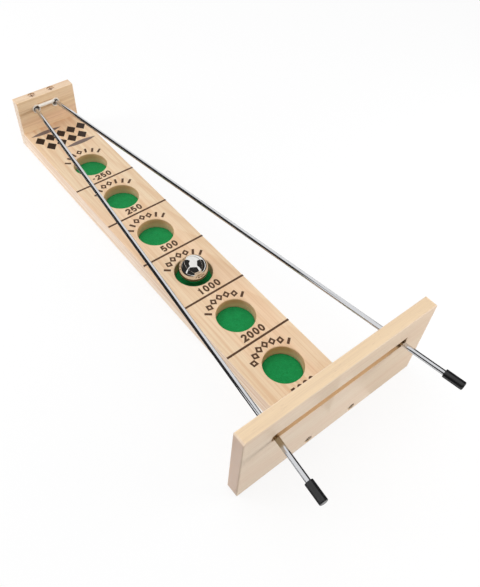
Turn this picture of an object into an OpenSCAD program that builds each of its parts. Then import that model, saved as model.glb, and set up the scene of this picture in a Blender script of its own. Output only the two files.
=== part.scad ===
// Rolling ball game: a steel ball runs on two pivoted rods above a board with scoring holes.
// X runs across the board, Y along it with the player at -Y, and Z is up from the table.
// The origin is the middle of the base board's underside.

/* [Base board] */
// Length of the base board between the two uprights
base_l = 418; // [340:1:520]
// Width of the base board
base_w = 63.5; // [56:0.5:80]
// Thickness of the base board
base_t = 18; // [16:0.5:26]
// Rounding of the base board's long edges
base_ease = 0.8; // [0.4:0.1:2]

/* [Ball holes] */
// Diameter of a ball hole
hole_d = 33.5; // [31:0.5:38]
// Depth of a ball hole
hole_depth = 11.7; // [8:0.1:13]
// Distance from the head block to the middle of the first hole
first_hole = 82.4; // [60:0.2:95]
// Distance from the middle of the last hole to the front board
last_hole = 43.1; // [30:0.1:60]
// Chamfer on a hole's rim
hole_ease = 0.5; // [0.2:0.1:1]

/* [Felt discs] */
// Thickness of a felt disc
felt_t = 1.5; // [0.8:0.1:3]
// Gap between a felt disc and the wall of its hole
felt_gap = 0.25; // [0.1:0.05:1]

/* [Ball] */
// Diameter of the steel ball
ball_d = 25.4; // [22:0.1:28]
// Number of the hole that the ball lies in, counted from the head block
ball_hole_index = 4; // [1:1:6]
// Gap between the ball and the felt below it
ball_gap = 0.3; // [0.2:0.05:1]

/* [Head block] */
// Thickness of the head block
head_t = 10.6; // [9.8:0.1:14]
// Height of the head block above the base board
head_rise = 37; // [33:0.5:50]

/* [Front board] */
// Width of the front board
front_w = 177; // [150:1:200]
// Thickness of the front board
front_t = 10.4; // [8:0.1:16]
// Height of the front board above the base board
front_rise = 63.5; // [55:0.1:80]
// Radius of the front board's four corners, seen from the player
front_corner = 2.5; // [1:0.1:8]
// Rounding of the uprights' edges
upright_ease = 0.9; // [0.4:0.1:2]

/* [Slot] */
// Length of the slot from end to end
slot_l = 127.4; // [100:0.2:136]
// Height of the slot's middle above the base board
slot_rise = 40; // [36:0.1:46]
// Height of the slot beyond the thickness of a rod
slot_play = 3.6; // [1.6:0.1:4]

/* [Rods] */
// Diameter of a rod
rod_d = 4; // [3:0.1:4.2]
// Length of a rod in front of the front board
rod_out = 47.5; // [25:0.5:70]
// How far the left rod can still move outwards in the slot
left_end_gap = 1.6; // [0.3:0.1:20]
// How far the right rod can still move outwards in the slot
right_end_gap = 0.8; // [0.3:0.1:20]
// Gap between a rod and the slot's lower back edge
rod_gap = 0.4; // [0.2:0.05:0.6]
// Chamfer on a rod's front end
rod_chamfer = 0.5; // [0.2:0.1:1]

/* [Pivots] */
// Distance between the two pivots
pivot_gap = 21.4; // [19:0.2:34]
// Distance of the pivots' middle to the left of the board's middle
pivot_shift = 1.8; // [0:0.1:3]
// Height of the pivots above the base board
pivot_rise = 24.3; // [20:0.1:27]
// Distance of the pivots behind the head block's face
pivot_setback = 5.6; // [5.2:0.1:5.9]
// Diameter of a rod's eye
eye_d = 6; // [5.4:0.1:6.4]
// Thickness of a rod's eye
eye_t = 3.2; // [2.4:0.1:3.6]
// Radial running clearance of a pivot screw in the eye
pin_clearance = 0.05; // [0.02:0.01:0.09]
// Gap around an eye in its pocket
pocket_gap = 0.5; // [0.4:0.05:0.7]

/* [Pivot strap] */
// Outer diameter of the strap's two rings
ring_d = 9; // [8.9:0.1:12]
// Inner diameter of the strap's two rings
ring_bore = 6.5; // [6.4:0.05:6.9]
// Thickness of the rings in front of the head block
ring_t = 1.6; // [1:0.1:2]
// Length of the rings' spigots inside the head block
spigot_l = 1.8; // [1:0.1:2]
// Gap around a spigot in its pocket
spigot_gap = 0.1; // [0.05:0.05:0.2]
// Diameter of the bar between the rings
bar_d = 3.6; // [2.4:0.1:3.8]
// Height of the bar's middle above the pivots
bar_rise = 2.9; // [0:0.1:3]
// Gap between the bar and the head block's face
bar_gap = 0.2; // [0.1:0.05:0.6]

/* [Grips] */
// Length of a rubber grip
grip_l = 15; // [8:0.5:30]
// Diameter of a rubber grip
grip_d = 6.5; // [5.4:0.1:7.4]
// Thickness of a grip's closed end
grip_end = 1.8; // [1.2:0.1:4]
// Rounding of a grip's closed end
grip_round = 0.8; // [0.3:0.1:1.2]
// Gap between a grip and its rod
grip_gap = 0.05; // [0.02:0.01:0.1]

/* [Screws] */
// Shank diameter of a pivot screw
pin_d = 2.8; // [2.4:0.1:3]
// Head diameter of a pivot screw
pin_head_d = 8; // [6:0.1:8]
// Length of a pivot screw below its pivot
pin_reach = 15; // [12:0.5:20]
// Shank diameter of a board screw
screw_d = 3.5; // [3:0.1:4.5]
// Head diameter of a board screw
screw_head_d = 7; // [6:0.1:9]
// Length of a board screw
screw_l = 32; // [25:0.5:45]
// Distance between the two board screws of an upright
screw_gap = 44; // [24:0.5:48]
// Height of the board screws above the table
screw_rise = 6.1; // [5:0.1:9.5]
// Depth of every screw head below the wood's face
head_sink = 0.8; // [0.3:0.1:1]
// Gap around a screw in its wooden hole
screw_gap_r = 0.05; // [0.02:0.01:0.1]
// Width of the arms of a screw's cross recess
recess_w = 1.1; // [0.8:0.1:1.4]
// Depth of a screw's cross recess
recess_depth = 1.2; // [0.8:0.1:1.5]

/* [Hidden] */
$fn = 96;

hole_count = 6;
over = 1;
left = -1;
right = 1;
wood_base = [0.80, 0.57, 0.38];
wood_upright = [0.83, 0.66, 0.46];
steel_bright = [0.80, 0.81, 0.83];
steel_screw = [0.55, 0.54, 0.50];
rubber_black = [0.09, 0.09, 0.09];
felt_green = [0.04, 0.30, 0.11];

head_face_y = base_l / 2;
front_back_y = -base_l / 2;
front_face_y = front_back_y - front_t;
hole_pitch = (base_l - first_hole - last_hole) / (hole_count - 1);
hole_floor_z = base_t - hole_depth;
felt_top_z = hole_floor_z + felt_t;
head_h = base_t + head_rise;
front_h = base_t + front_rise;
slot_h = rod_d + slot_play;
slot_z = base_t + slot_rise;
pivot_y = head_face_y + pivot_setback;
pivot_z = base_t + pivot_rise;
pocket_r = norm([eye_d / 2, eye_t / 2]) + pocket_gap;
pocket_depth = pivot_setback + eye_d / 2 + pocket_gap;
eye_bore = pin_d + 2 * pin_clearance;
pin_head_h = (pin_head_d - pin_d) / 2;
pin_l = head_h - head_sink - pivot_z + pin_reach;
screw_head_h = (screw_head_d - screw_d) / 2;
spigot_d = 2 * (pocket_r - spigot_gap);
recess_ratio = 0.62;
tip_ratio = 0.15;
tip_share = 0.2;
run = pivot_y - front_face_y;

function hole_y(i) = head_face_y - first_hole - (i - 1) * hole_pitch;
function pivot_x(side) = side * pivot_gap / 2 - pivot_shift;
function end_gap(side) = side == left ? left_end_gap : right_end_gap;
// A rod lies just above the slot's lower back edge
rise_back = slot_z - slot_h / 2 + rod_gap + rod_d / 2 - pivot_z;
rod_dz = rise_back * run / (run - front_t);
// A rod, this far below the slot's middle, touches the slot's round end with half the play between the two middles
rod_drop = slot_z - pivot_z - rod_dz;
rod_room = (slot_l - slot_h) / 2 + sqrt(pow(slot_play / 2, 2) - pow(rod_drop, 2));
// Middle of a rod where it leaves the slot, measured from the pivot
function rod_dx(side) = side * (rod_room - end_gap(side)) - pivot_x(side);
function rod_turn(side) = atan2(rod_dx(side), run);
function rod_reach(side) = norm([rod_dx(side), run, rod_dz]);
function rod_tilt(side) = asin(rod_dz / rod_reach(side));
function rod_l(side) = rod_reach(side) + rod_out;

// Rectangle with four true round corners, centred
module soft_rect(w, h, r) {
    square([w - 2 * r, h], center = true);
    square([w, h - 2 * r], center = true);
    for (x = [-1, 1], y = [-1, 1])
        translate([x * (w / 2 - r), y * (h / 2 - r)]) circle(r);
}

// Upright plate standing on the table, w wide, t thick and h high, with its back face on y = 0
module upright(w, t, h, corner) {
    translate([0, t / 2, h / 2]) intersection() {
        rotate([90, 0, 0]) linear_extrude(t, center = true) soft_rect(w, h, corner);
        linear_extrude(h, center = true) soft_rect(w, t, upright_ease);
        rotate([90, 0, 90]) linear_extrude(w, center = true) soft_rect(t, h, upright_ease);
    }
}

// Screw along -Z with its flat head on z = 0
module screw(shank_d, head_d, head_h, length) {
    tip = length * tip_share;
    difference() {
        union() {
            translate([0, 0, -head_h]) cylinder(d1 = shank_d, d2 = head_d, h = head_h);
            translate([0, 0, tip - length]) cylinder(d = shank_d, h = length - tip - head_h / 2);
            translate([0, 0, -length]) cylinder(d1 = shank_d * tip_ratio, d2 = shank_d, h = tip);
        }
        for (turn = [0, 90])
            rotate([0, 0, turn]) translate([0, 0, over - recess_depth])
                cube([head_d * recess_ratio, recess_w, 2 * over], center = true);
    }
}

// Wooden hole for a screw, with its mouth on z = 0 and the head sunk below it
module screw_hole(shank_d, head_d, head_h, length) {
    g = screw_gap_r;
    translate([0, 0, -head_sink]) {
        cylinder(d = head_d + 2 * g, h = head_sink + over);
        translate([0, 0, -head_h]) cylinder(d1 = shank_d + 2 * g, d2 = head_d + 2 * g, h = head_h);
        translate([0, 0, -length - g]) cylinder(d = shank_d + 2 * g, h = length);
    }
}

// Places its children at a pivot, on top of the head block
module at_pivot_top(side) {
    translate([pivot_x(side), pivot_y, head_h]) children();
}

// Places its children at the two board screws in the front board, with Z pointing at the player
module at_front_screws() {
    for (x = [-1, 1])
        translate([x * screw_gap / 2, front_face_y, screw_rise]) rotate([90, 0, 0]) children();
}

// Places its children at the two board screws in the head block, with Z pointing backwards
module at_head_screws() {
    for (x = [-1, 1])
        translate([x * screw_gap / 2, head_face_y + head_t, screw_rise]) rotate([-90, 0, 0]) children();
}

// Places its children on a rod's line, with Z pointing along it to the player
module on_rod(side) {
    translate([pivot_x(side), pivot_y, pivot_z])
        rotate([90 - rod_tilt(side), 0, rod_turn(side)]) children();
}

module base_board() {
    color(wood_base) difference() {
        translate([0, 0, base_t / 2]) rotate([90, 0, 0])
            linear_extrude(base_l, center = true) soft_rect(base_w, base_t, base_ease);
        for (i = [1:hole_count]) translate([0, hole_y(i), 0]) {
            translate([0, 0, hole_floor_z]) cylinder(d = hole_d, h = hole_depth + over);
            translate([0, 0, base_t - hole_ease])
                cylinder(d1 = hole_d, d2 = hole_d + 2 * hole_ease + 2 * over, h = hole_ease + over);
        }
        at_front_screws() screw_hole(screw_d, screw_head_d, screw_head_h, screw_l);
        at_head_screws() screw_hole(screw_d, screw_head_d, screw_head_h, screw_l);
    }
}

module head_block() {
    color(wood_upright) difference() {
        translate([0, head_face_y, 0]) upright(base_w, head_t, head_h, upright_ease);
        for (side = [left, right]) {
            at_pivot_top(side) screw_hole(pin_d, pin_head_d, pin_head_h, pin_l);
            translate([pivot_x(side), head_face_y + pocket_depth, pivot_z])
                rotate([90, 0, 0]) cylinder(r = pocket_r, h = pocket_depth + over);
        }
        at_head_screws() screw_hole(screw_d, screw_head_d, screw_head_h, screw_l);
    }
}

module front_board() {
    color(wood_upright) difference() {
        translate([0, front_face_y, 0]) upright(front_w, front_t, front_h, front_corner);
        translate([0, front_back_y + over, slot_z]) rotate([90, 0, 0]) {
            linear_extrude(front_t + 2 * over) square([slot_l - slot_h, slot_h], center = true);
            for (x = [-1, 1])
                translate([x * (slot_l - slot_h) / 2, 0, 0]) cylinder(d = slot_h, h = front_t + 2 * over);
        }
        at_front_screws() screw_hole(screw_d, screw_head_d, screw_head_h, screw_l);
    }
}

// Half section of a strap ring, with its spigot on the head block's side
module ring_section() {
    edge = ring_t / 4;
    translate([ring_bore / 2, 0]) square([(ring_d - ring_bore) / 2, ring_t - edge]);
    translate([ring_bore / 2 + edge, 0]) square([(ring_d - ring_bore) / 2 - 2 * edge, ring_t]);
    for (r = [ring_bore / 2 + edge, ring_d / 2 - edge])
        translate([r, ring_t - edge]) circle(edge);
    translate([ring_bore / 2, -spigot_l]) square([(spigot_d - ring_bore) / 2, spigot_l + edge]);
}

module pivot_strap() {
    bar_y = head_face_y - bar_gap - bar_d / 2;
    color(steel_bright) union() {
        for (side = [left, right])
            translate([pivot_x(side), head_face_y, pivot_z]) rotate([90, 0, 0])
                rotate_extrude() ring_section();
        difference() {
            translate([-pivot_shift, bar_y, pivot_z + bar_rise]) rotate([0, 90, 0])
                cylinder(d = bar_d, h = pivot_gap - ring_bore / 2, center = true);
            for (side = [left, right])
                translate([pivot_x(side), head_face_y + over, pivot_z]) rotate([90, 0, 0])
                    cylinder(d = (ring_bore + ring_d) / 2, h = bar_d + bar_gap + 2 * over);
        }
    }
}

module pivot_screw(side) {
    color(steel_screw) at_pivot_top(side) translate([0, 0, -head_sink])
        screw(pin_d, pin_head_d, pin_head_h, pin_l);
}

module pivot_screw_left() {
    pivot_screw(left);
}

module pivot_screw_right() {
    pivot_screw(right);
}

module front_board_screws() {
    color(steel_screw) at_front_screws() translate([0, 0, -head_sink])
        screw(screw_d, screw_head_d, screw_head_h, screw_l);
}

module head_block_screws() {
    color(steel_screw) at_head_screws() translate([0, 0, -head_sink])
        screw(screw_d, screw_head_d, screw_head_h, screw_l);
}

// Rod that turns about its pivot screw: a flat eye inside the head block, then a straight round bar
module rod(side) {
    color(steel_bright) difference() {
        union() {
            translate([pivot_x(side), pivot_y, pivot_z]) cylinder(d = eye_d, h = eye_t, center = true);
            on_rod(side) {
                cylinder(d = rod_d, h = rod_l(side) - rod_chamfer);
                translate([0, 0, rod_l(side) - rod_chamfer])
                    cylinder(d1 = rod_d, d2 = rod_d - 2 * rod_chamfer, h = rod_chamfer);
            }
        }
        translate([pivot_x(side), pivot_y, pivot_z]) cylinder(d = eye_bore, h = 3 * rod_d, center = true);
    }
}

module rod_left() {
    rod(left);
}

module rod_right() {
    rod(right);
}

// Rubber sleeve with a closed round end, pushed over the front end of a rod
module grip(side) {
    bore = rod_d + 2 * grip_gap;
    color(rubber_black) on_rod(side) translate([0, 0, rod_l(side) + grip_end - grip_l]) difference() {
        rotate_extrude() {
            square([grip_d / 2 - grip_round, grip_l]);
            square([grip_d / 2, grip_l - grip_round]);
            translate([grip_d / 2 - grip_round, grip_l - grip_round]) circle(grip_round);
        }
        translate([0, 0, -over]) cylinder(d = bore, h = grip_l - grip_end + over);
    }
}

module grip_left() {
    grip(left);
}

module grip_right() {
    grip(right);
}

module felt_disc(i) {
    color(felt_green) translate([0, hole_y(i), hole_floor_z])
        cylinder(d = hole_d - 2 * felt_gap, h = felt_t);
}

module ball() {
    color(steel_bright) translate([0, hole_y(ball_hole_index), felt_top_z + ball_gap + ball_d / 2])
        sphere(d = ball_d);
}

base_board();
head_block();
front_board();
pivot_strap();
pivot_screw_left();
pivot_screw_right();
front_board_screws();
head_block_screws();
rod_left();
rod_right();
grip_left();
grip_right();
felt_disc(1);  // felt_disc_1
felt_disc(2);  // felt_disc_2
felt_disc(3);  // felt_disc_3
felt_disc(4);  // felt_disc_4
felt_disc(5);  // felt_disc_5
felt_disc(6);  // felt_disc_6
ball();
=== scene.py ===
"""The looks of a rolling ball game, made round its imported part.

A steel ball rolls on two chromed rods above a long pine board with six felt-lined wells. Each sub-assembly
is a class with its sizes as fields, each finish is a frozen dataclass, and every length is in metres in the
part's own frame: X across the board, Y along it with the player at -Y, and Z up from the table. Fields named
_mm are millimetres, which is how the wood, felt and print are drawn.
"""

import logging
import math
from abc import ABC, abstractmethod
from collections.abc import Sequence
from dataclasses import dataclass, replace
from enum import Enum

import bpy
from mathutils import Matrix, Vector


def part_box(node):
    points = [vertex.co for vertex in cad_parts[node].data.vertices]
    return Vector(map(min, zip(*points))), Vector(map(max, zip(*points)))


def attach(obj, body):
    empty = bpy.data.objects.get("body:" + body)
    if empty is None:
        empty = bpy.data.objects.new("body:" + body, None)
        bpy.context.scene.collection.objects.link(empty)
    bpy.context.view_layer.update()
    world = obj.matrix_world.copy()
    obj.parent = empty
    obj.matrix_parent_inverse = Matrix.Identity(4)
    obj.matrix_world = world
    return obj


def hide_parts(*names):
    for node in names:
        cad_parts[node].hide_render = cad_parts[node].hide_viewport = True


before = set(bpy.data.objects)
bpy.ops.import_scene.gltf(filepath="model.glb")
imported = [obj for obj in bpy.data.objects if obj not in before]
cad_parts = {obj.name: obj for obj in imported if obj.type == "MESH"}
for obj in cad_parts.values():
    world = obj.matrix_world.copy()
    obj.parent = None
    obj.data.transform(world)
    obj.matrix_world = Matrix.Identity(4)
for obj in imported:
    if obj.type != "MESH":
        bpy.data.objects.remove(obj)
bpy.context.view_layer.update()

MM = 0.001
PHOTO_WIDTH_PX = 480
PHOTO_HEIGHT_PX = 587
WELL_COUNT = 6
BOARD_BODY = "board"
ELLIPSE_SIDES = 45
# The corner of a pen stroke is drawn out no further than it would be at this cosine.
MITRE_LIMIT = 0.4
# A Mix node's sockets for colours: the share, the first and the second, and then the result.
MIX_INPUTS = (0, 6, 7)
MIX_RESULT = 2

Colour = tuple[float, float, float]
Point = tuple[float, float]
Spot = tuple[float, float, float]
Outline = list[Point]
Socket = bpy.types.NodeSocket
Value = Socket | float | tuple

WHITE: Colour = (1.0, 1.0, 1.0)

log = logging.getLogger("rolling_ball_game")


class Grain(Enum):
    """Which way a board's grain runs."""

    LENGTHWISE = "y"
    CROSSWISE = "x"


class Axis(Enum):
    """The axis that a face looks along."""

    X = 0
    Y = 1
    Z = 2


class Side(Enum):
    """The side of a rod, as the player sees it."""

    LEFT = "left"
    RIGHT = "right"


def paint(red: int, green: int, blue: int) -> Colour:
    """Turns a colour as it looks on a screen into a shader's linear colour, by the sRGB curve.

    Args:
        red: Red share, 0 to 255.
        green: Green share, 0 to 255.
        blue: Blue share, 0 to 255.

    Returns:
        The linear red, green and blue.
    """
    shares = (c / 255 for c in (red, green, blue))
    return tuple(s / 12.92 if s <= 0.04045 else ((s + 0.055) / 1.055) ** 2.4 for s in shares)


class Graph:
    """A short way to write one node tree."""

    def __init__(self, tree: bpy.types.NodeTree) -> None:
        """Empties the tree and holds it."""
        self.tree = tree
        tree.nodes.clear()

    def node(self, kind: str, **settings: object) -> bpy.types.Node:
        """Adds a node.

        Args:
            kind: The node's type name.
            settings: Properties to set on it.

        Returns:
            The new node.
        """
        made = self.tree.nodes.new(kind)
        for name, value in settings.items():
            setattr(made, name, value)
        return made

    def feed(self, socket: Socket, value: Value) -> None:
        """Links another node's output to a socket, or sets the socket's own value.

        Args:
            socket: The input to feed.
            value: An output socket, a number, a vector or a colour.
        """
        if isinstance(value, bpy.types.NodeSocket):
            self.tree.links.new(value, socket)
        elif isinstance(value, tuple) and socket.type == "RGBA":
            socket.default_value = (*value[:3], 1.0)
        else:
            socket.default_value = value

    def feed_all(self, node: bpy.types.Node, values: Sequence[Value]) -> Socket:
        """Feeds a node's inputs in their order.

        Args:
            node: The node.
            values: What its inputs are fed.

        Returns:
            The node's first output.
        """
        for socket, value in zip(node.inputs, values):
            self.feed(socket, value)
        return node.outputs[0]

    def surface(self, shader: bpy.types.Node, output: str = "ShaderNodeOutputMaterial") -> None:
        """Wires a shader to the tree's output."""
        self.feed(self.node(output).inputs["Surface"], shader.outputs[0])

    def math(self, operation: str, *numbers: Value) -> Socket:
        """Adds a Math node and returns its result."""
        return self.feed_all(self.node("ShaderNodeMath", operation=operation), numbers)

    def vector(self, operation: str, *vectors: Value) -> Socket:
        """Adds a Vector Math node and returns its vector."""
        return self.feed_all(self.node("ShaderNodeVectorMath", operation=operation), vectors)

    def join(self, x: Value, y: Value, z: Value) -> Socket:
        """Joins three numbers into a vector."""
        return self.feed_all(self.node("ShaderNodeCombineXYZ"), (x, y, z))

    def split(self, vector: Value) -> list[Socket]:
        """Splits a vector into its three numbers.

        Args:
            vector: The vector.

        Returns:
            Its X, Y and Z.
        """
        made = self.node("ShaderNodeSeparateXYZ")
        self.feed(made.inputs[0], vector)
        return list(made.outputs)

    def apart(self, value: Value, middle: float) -> Socket:
        """Gives how far a number is from a middle, to either side."""
        return self.math("ABSOLUTE", self.math("SUBTRACT", value, middle))

    def length(self, first: Socket, second: Socket) -> Socket:
        """Gives the long side of a right triangle from its two short sides."""
        squares = (self.math("MULTIPLY", side, side) for side in (first, second))
        return self.math("SQRT", self.math("ADD", *squares))

    def noise(self, vector: Value, detail: float, roughness: float) -> Socket:
        """Adds a Noise texture with one wave per unit of its vector.

        Args:
            vector: Where to read it.
            detail: How many finer layers it has.
            roughness: How strong those layers are.

        Returns:
            The noise, about 0.5 on average.
        """
        made = self.node("ShaderNodeTexNoise")
        for name, value in (("Vector", vector), ("Scale", 1.0), ("Detail", detail), ("Roughness", roughness)):
            self.feed(made.inputs[name], value)
        return made.outputs[0]

    def remap(self, value: Value, low: float, high: float, to_low: float = 0.0, to_high: float = 1.0,
              smooth: bool = True) -> Socket:
        """Maps a range of numbers to another one and clamps there.

        Args:
            value: The number.
            low: Start of its range.
            high: End of its range.
            to_low: What the start becomes.
            to_high: What the end becomes.
            smooth: Whether the change eases in and out.

        Returns:
            The mapped number.
        """
        easing = "SMOOTHSTEP" if smooth else "LINEAR"
        made = self.node("ShaderNodeMapRange", interpolation_type=easing, clamp=True)
        return self.feed_all(made, (value, low, high, to_low, to_high))

    def mix(self, share: Value, first: Value, second: Value) -> Socket:
        """Mixes two colours.

        Args:
            share: How much of the second, 0 to 1.
            first: First colour.
            second: Second colour.

        Returns:
            The mixed colour.
        """
        made = self.node("ShaderNodeMix", data_type="RGBA", clamp_factor=True)
        for place, value in zip(MIX_INPUTS, (share, first, second)):
            self.feed(made.inputs[place], value)
        return made.outputs[MIX_RESULT]

    def bump(self, height: Value, depth: float, strength: float = 1.0) -> Socket:
        """Adds a Bump node.

        Args:
            height: The relief, 0 to 1.
            depth: How deep the relief is, in metres.
            strength: Share of it that shows.

        Returns:
            The bent normal.
        """
        made = self.node("ShaderNodeBump")
        for name, value in (("Strength", strength), ("Distance", depth), ("Height", height)):
            self.feed(made.inputs[name], value)
        return made.outputs[0]

    def place_mm(self) -> Socket:
        """Gives the piece's own coordinates in millimetres."""
        place = self.node("ShaderNodeTexCoord").outputs["Object"]
        return self.vector("MULTIPLY", place, (1 / MM,) * 3)


def new_material(name: str) -> tuple[bpy.types.Material, Graph]:
    """Makes a material with an empty node tree.

    Args:
        name: The material's name.

    Returns:
        The material and its graph.
    """
    material = bpy.data.materials.new(name)
    material.use_nodes = True
    return material, Graph(material.node_tree)


@dataclass(frozen=True)
class Fade:
    """A change from one number to another as a third one passes through a range.

    Attributes:
        start: Where the range starts.
        end: Where it ends.
        low: The number before the range.
        high: The number past it.
        smooth: Whether the change eases in and out.
    """

    start: float
    end: float
    low: float = 0.0
    high: float = 1.0
    smooth: bool = True

    def read(self, graph: Graph, value: Value) -> Socket:
        """Reads the fade at a number."""
        return graph.remap(value, self.start, self.end, self.low, self.high, self.smooth)


@dataclass(frozen=True)
class Noise:
    """One layer of noise all through a piece.

    Attributes:
        waves: Waves per millimetre in X, Y and Z.
        detail: How many finer layers it has.
        roughness: How strong those layers are.
    """

    waves: Spot
    detail: float = 3.0
    roughness: float = 0.6

    def read(self, graph: Graph, place: Value) -> Socket:
        """Reads the noise at a place given in millimetres."""
        return graph.noise(graph.vector("MULTIPLY", place, self.waves), self.detail, self.roughness)


@dataclass(frozen=True)
class WellStainAndShade:
    """The darker drilled walls of a row of round wells, all of one pitch: partly the drilled wood's own
    darker tone and partly painted shade inside the wells.

    Attributes:
        first_y_mm: Middle of the first well.
        pitch_mm: Distance from well to well.
        radius_mm: Radius of a well.
        below_mm: Height under which the wall is stained and shaded.
        floor_mm: Height of the felt's top.
        colour: Colour of the stain and painted shade at the rim.
        low_colour: Its paler colour at the felt.
        edge_mm: How softly the stain starts at the rim.
        pale_from_mm: Depth at which it starts to pale.
        pale_to_mm: Height above the felt at which it is palest.
        strength: How much of it shows.
    """

    first_y_mm: float
    pitch_mm: float
    radius_mm: float
    below_mm: float
    floor_mm: float
    colour: Colour
    low_colour: Colour
    edge_mm: float = 0.7
    pale_from_mm: float = 2.5
    pale_to_mm: float = 1.0
    strength: float = 0.75

    def dye_and_shade(self, graph: Graph, axes: list[Socket], wood: Socket) -> Socket:
        """Lays the stain and painted shade over the wood's colour.

        Args:
            graph: The tree to write in.
            axes: X, Y and Z in millimetres.
            wood: The wood's colour.

        Returns:
            The stained and shaded colour.
        """
        half = self.pitch_mm / 2
        along = graph.math("WRAP", graph.math("SUBTRACT", axes[1], self.first_y_mm), half, -half)
        inside = graph.math("LESS_THAN", graph.length(axes[0], along), self.radius_mm)
        deep = graph.remap(axes[2], self.below_mm, self.below_mm - self.edge_mm)
        paling = graph.remap(axes[2], self.below_mm - self.pale_from_mm, self.floor_mm + self.pale_to_mm)
        tone = graph.mix(paling, self.colour, self.low_colour)
        share = graph.math("MULTIPLY", graph.math("MULTIPLY", inside, deep), self.strength)
        return graph.mix(share, wood, tone)


@dataclass(frozen=True)
class SlotStainAndShade:
    """The caramel saw cut of the slot, and painted shade in it beside each rod where the rods rest.

    Attributes:
        length_mm: The slot's length.
        height_mm: Its height.
        middle_z_mm: Height of its middle above the table.
        shade_spot_x_mm: Where the two rods rest, from left to right.
        shade_spot_shares: How much of the painted shade beside each rod shows.
        shade_spot_reach_mm: How far the painted shade spreads beside its rod.
        shade_spot_core_mm: How far it shows in full.
        shade_spot_rise_mm: How far above and below the slot it fades out.
        colour: Colour of the cut.
        painted_shade_colour: Colour of the painted shade.
        strength: How much of the cut's colour shows.
        slack_mm: How far past the slot's outline the stain reaches.
    """

    length_mm: float
    height_mm: float
    middle_z_mm: float
    shade_spot_x_mm: Point
    shade_spot_shares: Point = (0.5, 1.0)
    shade_spot_reach_mm: float = 4.8
    shade_spot_core_mm: float = 1.6
    shade_spot_rise_mm: float = 0.8
    colour: Colour = paint(236, 198, 150)
    # Colour of the painted shade in the slot beside the rods.
    painted_shade_colour: Colour = paint(124, 98, 70)
    strength: float = 0.8
    slack_mm: float = 0.05

    def dye_and_shade(self, graph: Graph, axes: list[Socket], wood: Socket) -> Socket:
        """Lays the cut's colour and the painted shade beside the rods over the wood's colour.

        Args:
            graph: The tree to write in.
            axes: X, Y and Z in millimetres.
            wood: The wood's colour.

        Returns:
            The stained and shaded colour.
        """
        half_height = self.height_mm / 2
        rise = graph.apart(axes[2], self.middle_z_mm)
        within = graph.math("LESS_THAN", rise, half_height + self.slack_mm)
        reach = graph.math("LESS_THAN", graph.apart(axes[0], 0.0), self.length_mm / 2 + self.slack_mm)
        cut = graph.math("MULTIPLY", graph.math("MULTIPLY", within, reach), self.strength)
        # Painted shade in the slot on either side of each rod's resting place.
        shade_spots = [graph.remap(graph.apart(axes[0], rest), self.shade_spot_reach_mm, self.shade_spot_core_mm, 0.0, share)
                 for rest, share in zip(self.shade_spot_x_mm, self.shade_spot_shares)]
        level = graph.remap(rise, half_height + self.shade_spot_rise_mm, half_height)
        painted_shade = graph.math("MULTIPLY", graph.math("MAXIMUM", *shade_spots), level)
        return graph.mix(painted_shade, graph.mix(cut, wood, self.colour), self.painted_shade_colour)


@dataclass(frozen=True)
class FaceGrainAndLightTone:
    """A colour that shows on the faces along one axis: darker end grain on some boards, and on others painted
    light that makes a side paler as if lit more.

    Attributes:
        axis: The axis that the faces look along.
        colour: The colour.
        share: How much of it shows.
        facing: How squarely a face looks along the axis before the colour shows.
    """

    axis: Axis
    colour: Colour
    share: float
    facing: Fade = Fade(0.8, 0.98)

    def mask(self, graph: Graph) -> Socket:
        """Gives the share on those faces and 0 elsewhere.

        Args:
            graph: The tree to write in.

        Returns:
            The mask.
        """
        normal = graph.split(graph.node("ShaderNodeTexCoord").outputs["Normal"])
        square = self.facing.read(graph, graph.apart(normal[self.axis.value], 0.0))
        return graph.math("MULTIPLY", square, self.share)


@dataclass(frozen=True)
class Figure:
    """One layer of noise in a board, drawn out along its grain.

    Attributes:
        across: Waves per millimetre across the grain.
        along: Waves per millimetre along it.
        detail: How many finer layers it has.
        shift: Offset that keeps it apart from the other layers.
        fade: What the noise becomes.
        roughness: How strong the finer layers are.
    """

    across: float
    along: float
    detail: float
    shift: float
    fade: Fade
    roughness: float = 0.5

    def read(self, graph: Graph, axes: list[Socket], seed: float) -> Socket:
        """Draws the layer.

        Args:
            graph: The tree to write in.
            axes: The places across, along and above the grain in millimetres.
            seed: The board's own offset.

        Returns:
            Its number.
        """
        across, along, up = axes
        vector = graph.join(graph.math("MULTIPLY_ADD", across, self.across, seed + self.shift),
                            graph.math("MULTIPLY_ADD", along, self.along, self.shift),
                            graph.math("MULTIPLY_ADD", up, self.across, seed))
        return self.fade.read(graph, graph.noise(vector, self.detail, self.roughness))


class Finish(ABC):
    """A finish that its own class draws on a Principled shader."""

    name: str

    def build(self) -> bpy.types.Material:
        """Makes the material.

        Returns:
            The material.
        """
        material, graph = new_material(self.name)
        shader = graph.node("ShaderNodeBsdfPrincipled")
        for socket, value in self.draw(graph).items():
            graph.feed(shader.inputs[socket], value)
        graph.surface(shader)
        return material

    @abstractmethod
    def draw(self, graph: Graph) -> dict[str, Value]:
        """Draws the finish.

        Args:
            graph: The tree to write in.

        Returns:
            What each of the shader's sockets is fed.
        """


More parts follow.
